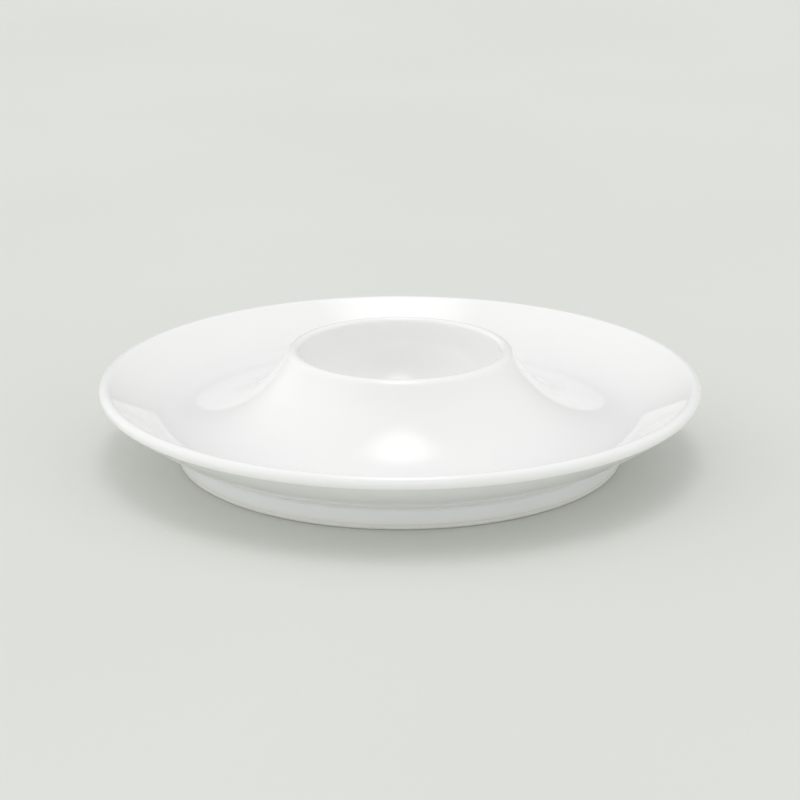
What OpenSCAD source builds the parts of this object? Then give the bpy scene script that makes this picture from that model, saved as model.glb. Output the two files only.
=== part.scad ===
// One-piece egg cup and saucer of glazed porcelain.
// A flared cup stands in the middle of a deep saucer with a rounded rim, on a bare foot ring.
// Every size is measured over the glaze, and the clay body is smaller by the glaze's thickness.
// Origin: centre of the foot ring, on the table. +Z is up.

/* [Saucer] */
// Diameter of the saucer over its rim
plate_d = 130; // [118:1:150]
// Height of the rim's top above the table
rim_h = 17.2; // [15.6:0.2:20]
// Thickness of the rim
rim_t = 2.8; // [2.2:0.1:3.6]
// Thickness of the wall behind the rim, under the flare and round the well
wall_t = 2.5; // [2:0.1:3.2]
// Width of the raised rim, from the saucer's lowest ring out to its edge
rim_w = 17.5; // [15.5:0.25:21]
// Height of the saucer's lowest ring above the table
trough_h = 8; // [7:0.25:9]
// Radius of the bend from the saucer's lowest ring up to the rim
bend_r = 9; // [6:0.5:12]

/* [Cup] */
// Height of the cup's lip above the table
cup_h = 24; // [21:0.25:27]
// Diameter of the lip along its crest
lip_d = 45.8; // [42:0.2:50]
// Radius of the lip's outer edge
lip_outer_r = 1.8; // [1:0.1:2.6]
// Radius of the lip's inner edge
lip_inner_r = 0.9; // [0.6:0.1:1.5]
// Height of the well's lowest point above the table
well_h = 5.6; // [4.8:0.2:7]
// Radius of the well's bottom
well_base_r = 28; // [24:0.5:34]
// Radius of the well's side
well_side_r = 14; // [11:0.5:16]
// Radius of the groove's crown, between the well and the flare on the underside
groove_r = 2; // [1.2:0.1:2.6]

/* [Foot] */
// How far the foot ring's outer wall stands outside the saucer's lowest ring
foot_out = 1; // [0:0.1:2.5]
// Width of the foot ring
foot_w = 3.6; // [3:0.2:5]
// Radius of the foot ring's lower edges
foot_round = 1.1; // [0.6:0.1:1.4]
// Radius of the fillets between the foot ring and the saucer
foot_fillet_r = 1.75; // [1:0.25:2.5]

/* [Glaze] */
// Thickness of the glaze
glaze_t = 0.25; // [0.15:0.05:0.4]
// Height of the foot ring's bare wall, between its rounded edge and the edge of the glaze
bare_wall_h = 0.35; // [0.15:0.05:0.9]

/* [Hidden] */

// Colours of the bare clay and of the glaze
clay_color = [0.87, 0.84, 0.78];
glaze_color = [0.97, 0.97, 0.96];

// How far a chord of the outline may stay from its arc
chord_gap = 0.008;
$fn = 180;

// Distances from the axis, and the height where the glaze ends on the foot ring
trough_r = plate_d / 2 - rim_w;
foot_r = trough_r + foot_out;
foot_inner_r = foot_r - foot_w;
bare_h = foot_round - glaze_t + bare_wall_h;

// Centres of the outline's arcs, each [distance from the axis, height]
rim_c = [plate_d / 2 - rim_t / 2, rim_h - rim_t / 2];
bend_c = [trough_r, trough_h + bend_r];
lip_outer_c = [lip_d / 2, cup_h - lip_outer_r];
lip_inner_c = [lip_d / 2, cup_h - lip_inner_r];

// The flare from the lip down to the trough is one arc. It touches the lip's outer edge, and it
// is level at the saucer's lowest ring.
flare_drop = lip_outer_c.y - trough_h;
flare_run = bend_c.x - lip_outer_c.x;
flare_r = (flare_run ^ 2 + flare_drop ^ 2 - lip_outer_r ^ 2) / (2 * (lip_outer_r + flare_drop));
flare_c = [trough_r, trough_h + flare_r];

// The well is a shallow bottom arc and a side arc that ends at the lip's inner edge
well_base_c = [0, well_h + well_base_r];
well_side_c = meet(well_base_c, well_base_r - well_side_r, lip_inner_c, well_side_r + lip_inner_r);

// Round crown of the groove between the well and the flare
groove_c = meet(well_side_c, well_side_r + wall_t + groove_r, flare_c, flare_r + wall_t + groove_r);

// Fillets from the foot ring to the saucer's underside
outer_fillet_c = below(bend_c, bend_r + wall_t + foot_fillet_r, foot_r + foot_fillet_r);
inner_fillet_c = below(flare_c, flare_r + wall_t + foot_fillet_r, foot_inner_r - foot_fillet_r);

// Directions in which the arcs meet each other or a straight stretch, in degrees
belly_from = heading(bend_c, outer_fillet_c);
belly_to = touching(bend_c, rim_c, bend_r + wall_t - rim_t / 2);
slope_at = touching(bend_c, rim_c, bend_r + rim_t / 2);
flare_to = heading(flare_c, lip_outer_c);
well_to = heading(well_base_c, well_side_c);
lip_to = heading(well_side_c, lip_inner_c);
flare_foot = heading(flare_c, inner_fillet_c);
flare_groove = heading(flare_c, groove_c);
well_groove = heading(well_side_c, groove_c);

// Direction from one point to another
function heading(from, to) = atan2(to.y - from.y, to.x - from.x);

// Point on the far side of the line from p to q, at distance a from p and b from q
function meet(p, a, q, b) =
    let (gap = norm(q - p), way = (q - p) / gap, along = (a ^ 2 - b ^ 2 + gap ^ 2) / (2 * gap))
    p + along * way + sqrt(a ^ 2 - along ^ 2) * [way.y, -way.x];

// Point below c, at a distance from it and at a given radius from the axis
function below(c, distance, radius) = [radius, c.y - sqrt(distance ^ 2 - (radius - c.x) ^ 2)];

// Direction from p in which a line touches the circles round p and q, with reach as the sum or
// the difference of their radii
function touching(p, q, reach) = heading(p, q) - acos(reach / norm(q - p));

// Points of an arc, close enough that no chord leaves it by more than chord_gap
function arc(c, r, from, to) =
    let (steps = ceil(abs(to - from) / (2 * acos(1 - chord_gap / r))))
    [for (i = [0:steps]) let (a = from + (to - from) * i / steps) c + r * [cos(a), sin(a)]];

// Upper outline, from the foot ring's outer wall over the rim and the lip to the well's bottom.
// It is moved inwards by inset: 0 gives the glaze's face, and glaze_t the clay's face.
function upper_outline(inset) = concat(
    arc(outer_fillet_c, foot_fillet_r + inset, 180, belly_from + 180),
    arc(bend_c, bend_r + wall_t - inset, belly_from, belly_to),
    arc(rim_c, rim_t / 2 - inset, belly_to, slope_at + 180),
    arc(bend_c, bend_r + inset, slope_at, -90),
    arc(flare_c, flare_r + inset, -90, flare_to),
    arc(lip_outer_c, lip_outer_r - inset, flare_to + 180, 90),
    arc(lip_inner_c, lip_inner_r - inset, 90, lip_to + 180),
    arc(well_side_c, well_side_r + inset, lip_to, well_to),
    arc(well_base_c, well_base_r + inset, well_to, -90));

// Lower outline, from the foot ring's inner wall over the groove to the middle of the underside
function lower_outline(inset) = concat(
    arc(inner_fillet_c, foot_fillet_r + inset, 0, flare_foot + 180),
    arc(flare_c, flare_r + wall_t - inset, flare_foot, flare_groove),
    arc(groove_c, groove_r + inset, flare_groove + 180, well_groove + 180),
    arc(well_side_c, well_side_r + wall_t - inset, well_groove, well_to),
    arc(well_base_c, well_base_r + wall_t - inset, well_to, -90));

// Lower edges of the bare foot ring, which stands on the table
function outer_foot_edge() =
    arc([foot_r - foot_round, foot_round - glaze_t], foot_round - glaze_t, -90, 0);
function inner_foot_edge() =
    arc([foot_inner_r + foot_round, foot_round - glaze_t], foot_round - glaze_t, -90, -180);

// Rounded edge of a glaze skin that ends on a foot wall, from the clay out to the glaze's face.
// Side is 1 on the outer wall and -1 on the inner wall.
function glaze_edge(wall_r, side) =
    arc([wall_r - side * glaze_t, bare_h + glaze_t], glaze_t, -90, side > 0 ? 0 : -180);

function reversed(points) = [for (i = [len(points) - 1:-1:0]) points[i]];

// Fired clay: the cup, the saucer and the foot ring in one piece
module porcelain_body()
{
    color(clay_color)
    rotate_extrude()
    polygon(concat(
        reversed(lower_outline(glaze_t)),
        reversed(inner_foot_edge()),
        outer_foot_edge(),
        upper_outline(glaze_t)));
}

// Glaze over the well, the cup, the saucer and its rim, down to the foot ring's bare edge
module glaze_top()
{
    color(glaze_color)
    rotate_extrude()
    polygon(concat(
        glaze_edge(foot_r, 1),
        upper_outline(0),
        reversed(upper_outline(glaze_t))));
}

// Glaze inside the foot ring, under the saucer and the cup
module glaze_underside()
{
    color(glaze_color)
    rotate_extrude()
    polygon(concat(
        glaze_edge(foot_inner_r, -1),
        lower_outline(0),
        reversed(lower_outline(glaze_t))));
}

porcelain_body();
glaze_top();
glaze_underside();
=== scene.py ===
"""Looks of the one-piece egg cup and saucer: white glazed porcelain with a bare foot ring.

The object's sizes are in millimetres over the glaze, and MM turns them into metres for Blender. A
point of the section is a complex number whose real part is the distance from the cup's axis and
whose imaginary part is the height above the table.
"""

import cmath
import math

import bpy
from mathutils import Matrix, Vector

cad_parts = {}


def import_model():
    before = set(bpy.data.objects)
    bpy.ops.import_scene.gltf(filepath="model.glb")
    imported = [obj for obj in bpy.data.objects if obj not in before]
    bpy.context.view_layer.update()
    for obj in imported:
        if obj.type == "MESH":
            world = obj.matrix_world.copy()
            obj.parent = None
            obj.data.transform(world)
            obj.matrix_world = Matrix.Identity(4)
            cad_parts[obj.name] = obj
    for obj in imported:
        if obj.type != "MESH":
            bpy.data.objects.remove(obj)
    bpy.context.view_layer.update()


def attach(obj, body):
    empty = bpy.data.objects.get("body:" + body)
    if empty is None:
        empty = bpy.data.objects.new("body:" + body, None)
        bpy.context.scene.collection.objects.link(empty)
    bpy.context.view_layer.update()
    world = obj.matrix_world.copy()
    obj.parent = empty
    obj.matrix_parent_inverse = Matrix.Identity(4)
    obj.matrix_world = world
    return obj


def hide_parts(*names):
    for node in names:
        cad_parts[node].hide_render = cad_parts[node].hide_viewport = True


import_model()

MM = 0.001

# Saucer
PLATE_D = 130.0
RIM_H = 17.2
RIM_T = 2.8
WALL_T = 2.5
RIM_W = 17.5
TROUGH_H = 8.0
BEND_R = 9.0

# Cup
CUP_H = 24.0
LIP_D = 45.8
LIP_OUTER_R = 1.8
LIP_INNER_R = 0.9
WELL_H = 5.6
WELL_BASE_R = 28.0
WELL_SIDE_R = 14.0
GROOVE_R = 2.0

# Foot ring
FOOT_OUT = 1.0
FOOT_W = 3.6
FOOT_ROUND = 1.1
FOOT_FILLET_R = 1.75

# Glaze
GLAZE_T = 0.25
BARE_WALL_H = 0.35

# Fineness of the meshes
CHORD_GAP = 0.003
SAME_POINT = CHORD_GAP / 10
SEGMENTS = 256
SHARP_ANGLE = math.radians(40)

# Directions in the section
UP = math.pi / 2
DOWN = -math.pi / 2


# Section of the object: tangent arcs, each with its centre, its radius and its two directions

def touching(p, q, reach):
    """Direction from p in which a line touches the circles round p and q."""
    return cmath.phase(q - p) - math.acos(reach / abs(q - p))


def meet(p, a, q, b):
    """Point at distance a from p and b from q, on the right of the way from p to q."""
    gap = abs(q - p)
    way = (q - p) / gap
    along = (a ** 2 - b ** 2 + gap ** 2) / (2 * gap)
    return p + along * way - 1j * way * math.sqrt(a ** 2 - along ** 2)


def below(c, distance, radius):
    """Point below c, at a distance from it and at a given radius from the axis."""
    return complex(radius, c.imag - math.sqrt(distance ** 2 - (radius - c.real) ** 2))


def arc(c, r, start, end):
    """Points of an arc whose chords stay within CHORD_GAP of it."""
    step = 2 * math.acos(1 - CHORD_GAP / r)
    count = max(1, math.ceil(abs(end - start) / step))
    return [c + cmath.rect(r, start + (end - start) * i / count) for i in range(count + 1)]


# Distances from the axis, and the height where the glaze ends on the foot ring
trough_r = PLATE_D / 2 - RIM_W
foot_r = trough_r + FOOT_OUT
foot_inner_r = foot_r - FOOT_W
bare_h = FOOT_ROUND - GLAZE_T + BARE_WALL_H

# Centres of the arcs
rim_c = complex(PLATE_D / 2 - RIM_T / 2, RIM_H - RIM_T / 2)
bend_c = complex(trough_r, TROUGH_H + BEND_R)
lip_outer_c = complex(LIP_D / 2, CUP_H - LIP_OUTER_R)
lip_inner_c = complex(LIP_D / 2, CUP_H - LIP_INNER_R)

# The flare touches the lip's outer edge, and it is level at the saucer's lowest ring
flare_drop = lip_outer_c.imag - TROUGH_H
flare_run = bend_c.real - lip_outer_c.real
flare_r = ((flare_run ** 2 + flare_drop ** 2 - LIP_OUTER_R ** 2)
           / (2 * (LIP_OUTER_R + flare_drop)))
flare_c = complex(trough_r, TROUGH_H + flare_r)

well_base_c = complex(0, WELL_H + WELL_BASE_R)
well_side_c = meet(well_base_c, WELL_BASE_R - WELL_SIDE_R,
                   lip_inner_c, WELL_SIDE_R + LIP_INNER_R)
groove_c = meet(well_side_c, WELL_SIDE_R + WALL_T + GROOVE_R,
                flare_c, flare_r + WALL_T + GROOVE_R)
outer_fillet_c = below(bend_c, BEND_R + WALL_T + FOOT_FILLET_R, foot_r + FOOT_FILLET_R)
inner_fillet_c = below(flare_c, flare_r + WALL_T + FOOT_FILLET_R, foot_inner_r - FOOT_FILLET_R)

# Directions in which the arcs meet each other or a straight stretch
belly_from = cmath.phase(outer_fillet_c - bend_c)
belly_to = touching(bend_c, rim_c, BEND_R + WALL_T - RIM_T / 2)
slope_at = touching(bend_c, rim_c, BEND_R + RIM_T / 2)
flare_to = cmath.phase(lip_outer_c - flare_c)
well_to = cmath.phase(well_side_c - well_base_c)
lip_to = cmath.phase(lip_inner_c - well_side_c)
flare_foot = cmath.phase(inner_fillet_c - flare_c)
flare_groove = cmath.phase(groove_c - flare_c)
well_groove = cmath.phase(groove_c - well_side_c)


def upper_outline(inset):
    """From the foot ring's outer wall over the rim and the lip to the well's bottom."""
    return (arc(outer_fillet_c, FOOT_FILLET_R + inset, math.pi, belly_from + math.pi)
            + arc(bend_c, BEND_R + WALL_T - inset, belly_from, belly_to)
            + arc(rim_c, RIM_T / 2 - inset, belly_to, slope_at + math.pi)
            + arc(bend_c, BEND_R + inset, slope_at, DOWN)
            + arc(flare_c, flare_r + inset, DOWN, flare_to)
            + arc(lip_outer_c, LIP_OUTER_R - inset, flare_to + math.pi, UP)
            + arc(lip_inner_c, LIP_INNER_R - inset, UP, lip_to + math.pi)
            + arc(well_side_c, WELL_SIDE_R + inset, lip_to, well_to)
            + arc(well_base_c, WELL_BASE_R + inset, well_to, DOWN))


def lower_outline(inset):
    """From the foot ring's inner wall over the groove to the middle of the underside."""
    return (arc(inner_fillet_c, FOOT_FILLET_R + inset, 0, flare_foot + math.pi)
            + arc(flare_c, flare_r + WALL_T - inset, flare_foot, flare_groove)
            + arc(groove_c, GROOVE_R + inset, flare_groove + math.pi, well_groove + math.pi)
            + arc(well_side_c, WELL_SIDE_R + WALL_T - inset, well_groove, well_to)
            + arc(well_base_c, WELL_BASE_R + WALL_T - inset, well_to, DOWN))


def foot_edge(centre_r, end):
    """Rounded lower edge of the bare foot ring, from its standing face up to a wall."""
    return arc(complex(centre_r, FOOT_ROUND - GLAZE_T), FOOT_ROUND - GLAZE_T, DOWN, end)


def glaze_edge(wall_r, side):
    """Rounded edge of a glaze skin on a foot wall: side is 1 outside and -1 inside."""
    centre = complex(wall_r - side * GLAZE_T, bare_h + GLAZE_T)
    return arc(centre, GLAZE_T, DOWN, 0 if side > 0 else -math.pi)


# Meshes

def without_repeats(outline):
    """The outline without points that lie on the one before."""
    kept = [outline[0]]
    for point in outline[1:]:
        if abs(point - kept[-1]) > SAME_POINT:
            kept.append(point)
    return kept


def lathe(name, outline):
    """Closed skin that the outline sweeps round the axis. The outline runs anticlockwise."""
    outline = without_repeats(outline)
    vertices, rings = [], []
    for point in outline:
        first = len(vertices)
        if point.real < SAME_POINT:
            vertices.append((0, 0, point.imag * MM))
            rings.append([first] * SEGMENTS)
            continue
        for k in range(SEGMENTS):
            around = cmath.rect(point.real * MM, 2 * math.pi * k / SEGMENTS)
            vertices.append((around.real, around.imag, point.imag * MM))
        rings.append(list(range(first, first + SEGMENTS)))
    faces = []
    for low, high in zip(rings, rings[1:] + rings[:1]):
        if low[0] == low[1] and high[0] == high[1]:
            continue
        for k in range(SEGMENTS):
            following = (k + 1) % SEGMENTS
            corners = [low[k], low[following], high[following], high[k]]
            faces.append(list(dict.fromkeys(corners)))
    mesh = bpy.data.meshes.new(name)
    mesh.from_pydata(vertices, [], faces)
    mesh.validate()
    mesh.shade_smooth()
    mesh.set_sharp_from_angle(angle=SHARP_ANGLE)
    piece = bpy.data.objects.new(name, mesh)
    bpy.context.scene.collection.objects.link(piece)
    return piece


def dress(piece, node, material):
    """Makes a piece stand for a CAD node, with its finish."""
    piece.data.materials.append(material)
    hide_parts(node)
    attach(piece, "root")


# Materials

def connect(tree, socket, value):
    """Gives an input socket a number, a vector or another node's output."""
    if isinstance(value, bpy.types.NodeSocket):
        tree.links.new(value, socket)
    else:
        socket.default_value = value


def calculate(tree, operation, *values, vector=False):
    """Output of a maths node: a number, or a vector from a vector operation other than a dot
    product or a length."""
    node = tree.nodes.new("ShaderNodeVectorMath" if vector else "ShaderNodeMath")
    node.operation = operation
    for socket, value in zip(node.inputs, values):
        connect(tree, socket, value)
    return node.outputs["Value" if operation in ("DOT_PRODUCT", "LENGTH") else 0]


def ramp(tree, value, start, end, low=0.0, high=1.0):
    """Smooth step from low at start to high at end."""
    node = tree.nodes.new("ShaderNodeMapRange")
    node.interpolation_type = "SMOOTHSTEP"
    for socket, number in zip(node.inputs, (value, start, end, low, high)):
        connect(tree, socket, number)
    return node.outputs["Result"]


def noise(tree, size, detail=2.0, roughness=0.5):
    """Noise between 0 and 1 whose grains are about size long, in metres."""
    node = tree.nodes.new("ShaderNodeTexNoise")
    tree.links.new(place(tree), node.inputs["Vector"])
    node.inputs["Scale"].default_value = 1 / size
    node.inputs["Detail"].default_value = detail
    node.inputs["Roughness"].default_value = roughness
    return node.outputs["Fac"]


def place(tree):
    """Where a point of the piece is, in metres from the object's origin."""
    return tree.nodes.new("ShaderNodeTexCoord").outputs["Object"]


def height(tree):
    """Height of a point above the table, in metres."""
    split = tree.nodes.new("ShaderNodeSeparateXYZ")
    tree.links.new(place(tree), split.inputs[0])
    return split.outputs["Z"]


def blend(tree, share, first, second):
    """Colour between first and second, by a share from 0 to 1."""
    node = tree.nodes.new("ShaderNodeMix")
    node.data_type = "RGBA"
    colours = [socket for socket in node.inputs if socket.type == "RGBA"]
    connect(tree, node.inputs["Factor"], share)
    for socket, colour in zip(colours, (first, second)):
        connect(tree, socket, colour)
    return next(socket for socket in node.outputs if socket.type == "RGBA")


# Distance of a bump at which its height counts in metres
TRUE_HEIGHT = 1.0


def bump(tree, height_m):
    """Normal of a surface that rises by height_m, in metres."""
    node = tree.nodes.new("ShaderNodeBump")
    node.inputs["Distance"].default_value = TRUE_HEIGHT
    connect(tree, node.inputs["Height"], height_m)
    return node.outputs["Normal"]


def new_material(name):
    """An empty material, its node tree and its shader."""
    material = bpy.data.materials.new(name)
    material.use_nodes = True
    tree = material.node_tree
    return material, tree, tree.nodes["Principled BSDF"]


# Most of a noise lies between these values
NOISE_MIDDLE = (0.3, 0.7)

# Glaze: thick and cool where it has run together, thin and warm at its edges
GLAZE_WHITE = (0.912, 0.912, 0.905, 1)
GLAZE_POOLED = (0.892, 0.900, 0.898, 1)
GLAZE_THIN = (0.872, 0.860, 0.835, 1)
SPECK = (0.46, 0.42, 0.36, 1)
POOL_TOP = 13 * MM
POOL_BOTTOM = 6 * MM
THIN_TOP = 2.4 * MM
THIN_BOTTOM = 1.2 * MM
CLOUD_SIZE = 22 * MM
WAVE_SIZE = 9 * MM
WAVE_HEIGHT = 0.012 * MM
RIPPLE_SIZE = 1.6 * MM
RIPPLE_HEIGHT = 0.0006 * MM
SPECK_SPACING = 5 * MM
SPECK_RADIUS = 0.09 * MM
SPECKED_SHARE = 0.12
SMOOTH = 1.0
GLOSS_DETAIL = 3.0
GLAZE_ROUGHNESS = (0.012, 0.035)
GLAZE_IOR = 1.52

# The share of the pooled tint rises with the cloud noise between its two values
POOL_CLOUD = (0.1, 0.7)
POOL_SHARE = (0.55, 1.0)

# Reflections fade out between two values of Layer Weight's Facing, which is 1 where the surface
# is edge-on. Light that glances along the flare would bounce on and on, and come out black.
SPECULAR = 0.5
GLANCING = (0.86, 0.96)


def specks(tree):
    """1 on the few dark iron specks under the glaze, and 0 elsewhere."""
    node = tree.nodes.new("ShaderNodeTexVoronoi")
    tree.links.new(place(tree), node.inputs["Vector"])
    node.inputs["Scale"].default_value = 1 / SPECK_SPACING
    radius = SPECK_RADIUS / SPECK_SPACING
    spot = ramp(tree, node.outputs["Distance"], radius, radius / 2)
    split = tree.nodes.new("ShaderNodeSeparateColor")
    tree.links.new(node.outputs["Color"], split.inputs[0])
    chosen = calculate(tree, "LESS_THAN", split.outputs[0], SPECKED_SHARE)
    return calculate(tree, "MULTIPLY", spot, chosen)


def glaze_material():
    material, tree, shader = new_material("white_glaze")
    cloud = noise(tree, CLOUD_SIZE)
    pooled = calculate(tree, "MULTIPLY", ramp(tree, height(tree), POOL_TOP, POOL_BOTTOM),
                       ramp(tree, cloud, *POOL_CLOUD, *POOL_SHARE))
    colour = blend(tree, pooled, GLAZE_WHITE, GLAZE_POOLED)
    colour = blend(tree, ramp(tree, height(tree), THIN_TOP, THIN_BOTTOM), colour, GLAZE_THIN)
    colour = blend(tree, specks(tree), colour, SPECK)
    connect(tree, shader.inputs["Base Color"], colour)
    gloss = noise(tree, WAVE_SIZE, GLOSS_DETAIL)
    connect(tree, shader.inputs["Roughness"], ramp(tree, gloss, *NOISE_MIDDLE, *GLAZE_ROUGHNESS))
    waves = calculate(tree, "MULTIPLY", noise(tree, WAVE_SIZE, SMOOTH), WAVE_HEIGHT)
    ripples = calculate(tree, "MULTIPLY", noise(tree, RIPPLE_SIZE, SMOOTH), RIPPLE_HEIGHT)
    connect(tree, shader.inputs["Normal"], bump(tree, calculate(tree, "ADD", waves, ripples)))
    facing = tree.nodes.new("ShaderNodeLayerWeight").outputs["Facing"]
    specular = ramp(tree, facing, *GLANCING, SPECULAR, 0.0)
    connect(tree, shader.inputs["Specular IOR Level"], specular)
    connect(tree, shader.inputs["IOR"], GLAZE_IOR)
    return material


# Bare clay of the foot ring: matt, fine grained, slightly cream
CLAY_LIGHT = (0.850, 0.838, 0.808, 1)
CLAY_DARK = (0.775, 0.755, 0.708, 1)
GRAIN_SIZE = 0.35 * MM
GRAIN_HEIGHT = 0.02 * MM
GRAIN_DETAIL = 4.0
GRAIN_NOISE_ROUGHNESS = 0.65
DARK_GRAIN = (0.45, 0.75)
SMUDGE_SIZE = 6 * MM
SMUDGE_VALUES = (0.3, 0.8)
SMUDGE_SHARE = (0.3, 1.0)
CLAY_ROUGHNESS = (0.72, 0.92)


def clay_material():
    material, tree, shader = new_material("bare_porcelain")
    grain = noise(tree, GRAIN_SIZE, GRAIN_DETAIL, GRAIN_NOISE_ROUGHNESS)
    smudge = noise(tree, SMUDGE_SIZE)
    darker = calculate(tree, "MULTIPLY", ramp(tree, grain, *DARK_GRAIN),
                       ramp(tree, smudge, *SMUDGE_VALUES, *SMUDGE_SHARE))
    connect(tree, shader.inputs["Base Color"], blend(tree, darker, CLAY_LIGHT, CLAY_DARK))
    connect(tree, shader.inputs["Roughness"], ramp(tree, grain, *NOISE_MIDDLE, *CLAY_ROUGHNESS))
    relief = calculate(tree, "MULTIPLY", grain, GRAIN_HEIGHT)
    connect(tree, shader.inputs["Normal"], bump(tree, relief))
    return material


# Floor: plain pale sheet with a faint tint and a fine tooth
FLOOR_LIGHT = (0.730, 0.747, 0.708, 1)
FLOOR_DARK = (0.716, 0.734, 0.693, 1)
FLOOR_CLOUD_SIZE = 180 * MM
FLOOR_CLOUD = (0.35, 0.65)
FLOOR_TOOTH_SIZE = 0.8 * MM
FLOOR_TOOTH_HEIGHT = 0.03 * MM
FLOOR_TOOTH_DETAIL = 3.0
FLOOR_ROUGHNESS = (0.8, 0.95)


def floor_material():
    material, tree, shader = new_material("floor")
    cloud = ramp(tree, noise(tree, FLOOR_CLOUD_SIZE), *FLOOR_CLOUD)
    tooth = noise(tree, FLOOR_TOOTH_SIZE, FLOOR_TOOTH_DETAIL)
    connect(tree, shader.inputs["Base Color"], blend(tree, cloud, FLOOR_LIGHT, FLOOR_DARK))
    connect(tree, shader.inputs["Roughness"], ramp(tree, tooth, *NOISE_MIDDLE, *FLOOR_ROUGHNESS))
    relief = calculate(tree, "MULTIPLY", tooth, FLOOR_TOOTH_HEIGHT)
    connect(tree, shader.inputs["Normal"], bump(tree, relief))
    return material


# The three pieces: each glaze runs along its own face, and back along the clay's

glaze = glaze_material()
clay = clay_material()

clay_outline = (lower_outline(GLAZE_T)[::-1]
                + foot_edge(foot_inner_r + FOOT_ROUND, -math.pi)[::-1]
                + foot_edge(foot_r - FOOT_ROUND, 0)
                + upper_outline(GLAZE_T))
top_outline = glaze_edge(foot_r, 1) + upper_outline(0) + upper_outline(GLAZE_T)[::-1]
underside_outline = (lower_outline(GLAZE_T) + lower_outline(0)[::-1]
                     + glaze_edge(foot_inner_r, -1)[::-1])

dress(lathe("bare_porcelain_body", clay_outline), "porcelain_body", clay)
dress(lathe("upper_glaze", top_outline), "glaze_top", glaze)
dress(lathe("underside_glaze", underside_outline), "glaze_underside", glaze)


# Studio

# The camera looks at the middle of the cup's height, from the photograph's elevation
TARGET = Vector((0, 0, CUP_H / 2 * MM))
ELEVATION = math.radians(18.2)
DISTANCE = 600 * MM
PIXELS_PER_MM = 4.6
FRAME_PIXELS = 800
SENSOR = 36.0

# The floor reaches far enough, in metres, to fill low views. It lies a hair under the foot ring,
# because two faces in one plane would flicker.
FLOOR_HALF = 20.0
FLOOR_GAP = 0.01 * MM


def camera():
    data = bpy.data.cameras.new("camera")
    data.sensor_width = SENSOR
    data.lens = SENSOR * PIXELS_PER_MM * (DISTANCE / MM) / FRAME_PIXELS
    cam = bpy.data.objects.new("camera", data)
    bpy.context.scene.collection.objects.link(cam)
    back = Vector((0, -math.cos(ELEVATION), math.sin(ELEVATION)))
    cam.location = TARGET + DISTANCE * back
    cam.rotation_euler = back.to_track_quat("Z", "Y").to_euler()
    bpy.context.scene.camera = cam


def floor():
    mesh = bpy.data.meshes.new("floor")
    corners = [(x * FLOOR_HALF, y * FLOOR_HALF, -FLOOR_GAP)
               for x, y in ((-1, -1), (1, -1), (1, 1), (-1, 1))]
    mesh.from_pydata(corners, [], [(0, 1, 2, 3)])
    slab = bpy.data.objects.new("floor", mesh)
    bpy.context.scene.collection.objects.link(slab)
    slab.data.materials.append(floor_material())


WHITE = (1, 1, 1, 1)

# White surround: radiance from everywhere, and lobes of light that fade to their sides. Each has
# the direction that it comes from, its strength and how narrow it is, as a power of the cosine.
# X is to the right, Y to the back and Z up.
SURROUND = 0.40
LOBES = {
    "top": ((0.0, 0.25, 1.0), 0.52, 4.0),
    "left": ((-1.0, 0.1, 0.35), 0.49, 2.0),
    "right": ((1.0, 0.1, 0.35), 0.45, 2.0),
    "back_left": ((-0.82, 0.57, 0.12), 0.50, 12.0),
    "low_left": ((-1.0, -0.5, 0.0), 0.90, 7.0),
    "low_right": ((1.0, -0.5, 0.0), 0.50, 7.0),
    "low_front": ((0.0, -1.0, 0.0), 1.00, 7.0),
}

# Soft oval light overhead: its centre and its half widths in X and Y at a height of 1, and the
# share of the half widths within which it has its full radiance
OVERHEAD_CENTRE = (0.005, 0.005)
OVERHEAD_REACH = (0.285, 0.50)
OVERHEAD_CORE = 0.27
OVERHEAD_RADIANCE = 2.60


def lobe(tree, direction, towards, strength, sharpness):
    """Light that comes mostly from one direction and fades to nothing at its sides."""
    facing = calculate(tree, "DOT_PRODUCT", direction, Vector(towards).normalized(), vector=True)
    facing = calculate(tree, "MAXIMUM", facing, 0.0)
    return calculate(tree, "MULTIPLY", calculate(tree, "POWER", facing, sharpness), strength)


def overhead(tree, direction):
    """Oval light overhead with a soft edge."""
    split = tree.nodes.new("ShaderNodeSeparateXYZ")
    tree.links.new(direction, split.inputs[0])
    upwards = split.outputs["Z"]
    offsets = []
    for axis, centre, reach in zip("XY", OVERHEAD_CENTRE, OVERHEAD_REACH):
        across = calculate(tree, "DIVIDE", split.outputs[axis], upwards)
        across = calculate(tree, "SUBTRACT", across, centre)
        offsets.append(calculate(tree, "DIVIDE", across, reach))
    join = tree.nodes.new("ShaderNodeCombineXYZ")
    for socket, offset in zip(join.inputs, offsets):
        tree.links.new(offset, socket)
    outwards = calculate(tree, "LENGTH", join.outputs[0], vector=True)
    light = ramp(tree, outwards, 1.0, OVERHEAD_CORE, 0.0, OVERHEAD_RADIANCE)
    return calculate(tree, "MULTIPLY", light, calculate(tree, "GREATER_THAN", upwards, 0.0))


def world():
    made = bpy.data.worlds.new("studio")
    made.use_nodes = True
    tree = made.node_tree
    direction = tree.nodes.new("ShaderNodeTexCoord").outputs["Generated"]
    radiance = calculate(tree, "ADD", overhead(tree, direction), SURROUND)
    for towards, strength, sharpness in LOBES.values():
        light = lobe(tree, direction, towards, strength, sharpness)
        radiance = calculate(tree, "ADD", radiance, light)
    background = tree.nodes["Background"]
    background.inputs["Color"].default_value = WHITE
    tree.links.new(radiance, background.inputs["Strength"])
    bpy.context.scene.world = made


camera()
floor()
world()
bpy.context.scene.view_settings.view_transform = "Standard"
